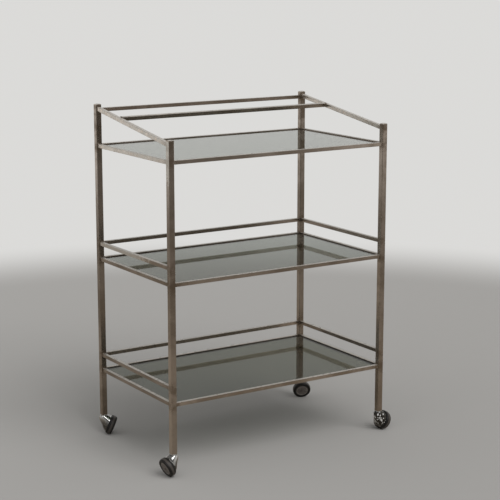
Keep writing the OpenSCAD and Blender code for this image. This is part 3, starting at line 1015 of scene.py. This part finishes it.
def hoodDistance(points, centre, stemTop, out):
    # Signed distance to the hood's skin, in metres
    away = points - centre
    depth = away @ out
    ring = np.sqrt(np.maximum((away ** 2).sum(-1) - depth ** 2, 0))
    dome = np.sqrt((away ** 2).sum(-1)) - hood["dome"]
    lean = stemTop - centre
    reach = np.sqrt((lean ** 2).sum())
    along = away @ (lean / reach)
    wide = np.sqrt(np.maximum((away ** 2).sum(-1) - along ** 2, 0))
    tip = along - reach
    s, c = math.sin(math.radians(hood["taper"])), math.cos(math.radians(hood["taper"]))
    ball = np.sqrt(tip ** 2 + wide ** 2) - hood["hornRadius"]
    cone = tip * s + wide * c - hood["hornRadius"]
    horn = np.where(tip * c - wide * s > 0, ball, cone)
    horn = -smoothMin(-horn, along - hood["hornStart"], hood["hornBlend"])
    body = smoothMin(dome, horn, hood["blend"])
    lip = np.sqrt((ring - hood["lipOut"]) ** 2 + (depth + hood["lipBack"]) ** 2) - hood["lip"]
    body = smoothMin(body, lip, hood["lipBlend"])
    body = -smoothMin(-body, -(depth + hood["rim"]), hood["edge"])
    return -smoothMin(-body, -(points[..., 2] - hood["hornTop"]), hood["edge"])


def hoodSkin(corner, centre, down, side, out):
    # Rows of points on the hood's outside, from the rim round to the back
    stem = jointOf(corner + "_swivel")["pos_m"]
    stemTop = np.array((stem[0], stem[1], hood["hornCentre"]))
    eye = centre - out * hood["eye"]
    rimInside = math.sqrt(hood["inside"] ** 2 - hood["rim"] ** 2)
    first = math.atan2(rimInside, hood["eye"] - hood["rim"])
    lat = np.linspace(first, math.pi, hood["rows"])
    lon = np.linspace(0, 2 * math.pi, hood["columns"], endpoint=False)
    lat, lon = np.meshgrid(lat, lon, indexing="ij")
    ways = (np.cos(lat)[..., None] * out + (np.sin(lat) * np.cos(lon))[..., None] * down
            + (np.sin(lat) * np.sin(lon))[..., None] * side)
    near, far = np.full(lat.shape, hood["nearest"]), np.full(lat.shape, hood["furthest"])
    for _ in range(hood["halvings"]):
        middle = (near + far) / 2
        inside = hoodDistance(eye + ways * middle[..., None], centre, stemTop, out) < 0
        near, far = np.where(inside, middle, near), np.where(inside, far, middle)
    return eye + ways * near[..., None]


def makeHood(corner):
    place = wheelPlace(corner)
    centre = np.array(place.translation)
    down, side, out = (np.array(place.to_3x3().col[i]) for i in range(3))
    skin = hoodSkin(corner, centre, down, side, out)
    shape = bmesh.new()
    rings = [[shape.verts.new(point) for point in row] for row in skin[:-1]]
    pole = shape.verts.new(skin[-1].mean(0))
    # The inside: a round wall from the rim to the back
    inner = []
    radius = hood["inside"]
    columns = np.linspace(0, 2 * math.pi, hood["columns"], endpoint=False)
    start = math.asin(hood["rim"] / radius)
    for angle in np.linspace(start, math.pi / 2, hood["innerRows"] + 2)[1:-1]:
        middle = centre - out * radius * math.sin(angle)
        wide = radius * math.cos(angle)
        inner.append([shape.verts.new(middle + (down * math.cos(a) + side * math.sin(a)) * wide)
                      for a in columns])
    innerPole = shape.verts.new(centre - out * radius)
    walls = inner[::-1] + rings
    for lower, upper in zip(walls, walls[1:]):
        for i in range(len(lower)):
            j = (i + 1) % len(lower)
            shape.faces.new((lower[i], lower[j], upper[j], upper[i]))
    for ring, end in ((walls[0], innerPole), (walls[-1], pole)):
        for i in range(len(ring)):
            shape.faces.new((ring[i], ring[(i + 1) % len(ring)], end))
    bmesh.ops.recalc_face_normals(shape, faces=shape.faces)
    finish = paintedDotFinish if corner == "front_right" else plateFinish
    piece = newPiece(corner + "HoodShell", shape, finish, corner + "_caster")
    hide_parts(corner + "_hood")


# Tyre and hub cap, turned about the axle: radius and distance out of the wheel's centre, in mm
wheel = {
    "tyre": [
        (19.05, 6.2), (19.3, 7.3), (20.0, 7.85), (20.9, 8.0), (21.6, 7.98), (21.75, 7.6), (21.95, 7.6),
        (22.2, 7.95), (22.86, 7.81), (23.55, 7.45), (24.13, 6.92), (24.57, 6.21), (24.78, 5.5),
        (24.97, 4.6), (25.16, 3.4), (25.30, 2.2), (25.38, 1.0), (25.40, 0.35), (25.50, 0.12),
        (25.50, -0.12), (25.40, -0.35), (25.38, -1.0), (25.30, -2.2), (25.16, -3.4), (24.97, -4.6),
        (24.78, -5.5), (24.57, -6.21), (24.13, -6.92), (23.55, -7.45), (22.86, -7.81), (22.2, -7.95),
        (21.95, -7.6), (21.75, -7.6), (21.6, -7.98), (20.9, -8.0), (20.0, -7.85), (19.3, -7.3),
        (19.05, -6.4)],
    "cap": [
        (0.0, 8.15), (1.4, 8.1), (2.4, 7.85), (3.0, 7.3), (3.5, 6.95), (5.5, 6.75), (8.5, 6.72),
        (11.5, 6.82), (13.6, 6.98), (14.1, 7.05), (14.35, 7.3), (14.8, 7.5), (15.4, 7.52), (15.9, 7.35),
        (16.2, 7.05), (16.6, 6.95), (17.9, 6.98), (18.4, 6.9), (18.75, 6.6), (18.88, 6.2),
        (18.88, 5.62), (0.0, 5.62)],
    "columns": 112,
    "radius": 25.4,  # the tyre's, at which "ring" is 1
}


def lathe(profile, place, closed):
    shape = bmesh.new()
    ring = shape.verts.layers.float.new("ring")
    columns = wheel["columns"]
    rows = []
    for radius, out in profile:
        if radius == 0:
            rows.append([shape.verts.new(place @ Vector((0, 0, out / 1000)))])
            continue
        rows.append([shape.verts.new(place @ Vector((
            radius / 1000 * math.cos(2 * math.pi * i / columns),
            radius / 1000 * math.sin(2 * math.pi * i / columns), out / 1000))) for i in range(columns)])
        for vert in rows[-1]:
            vert[ring] = radius / wheel["radius"]
    pairs = list(zip(rows, rows[1:]))
    if closed:
        pairs.append((rows[-1], rows[0]))
    for lower, upper in pairs:
        for i in range(columns):
            j = (i + 1) % columns
            if len(lower) == 1:
                shape.faces.new((lower[0], upper[j], upper[i]))
            elif len(upper) == 1:
                shape.faces.new((lower[i], lower[j], upper[0]))
            else:
                shape.faces.new((lower[i], lower[j], upper[j], upper[i]))
    bmesh.ops.recalc_face_normals(shape, faces=shape.faces)
    return shape


def makeWheel(corner):
    place = wheelPlace(corner)
    body = corner + "_wheel_body"
    tyre = newPiece(corner + "TyreRing", lathe(wheel["tyre"], place, True), tyreRubber, body)
    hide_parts(corner + "_tyre")
    cap = newPiece(corner + "HubDisc", lathe(wheel["cap"], place, False), hubPlastic, body)
    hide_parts(corner + "_hub_cap")


for corner in corners:
    makeHood(corner)
    makeWheel(corner)
print("casters made")
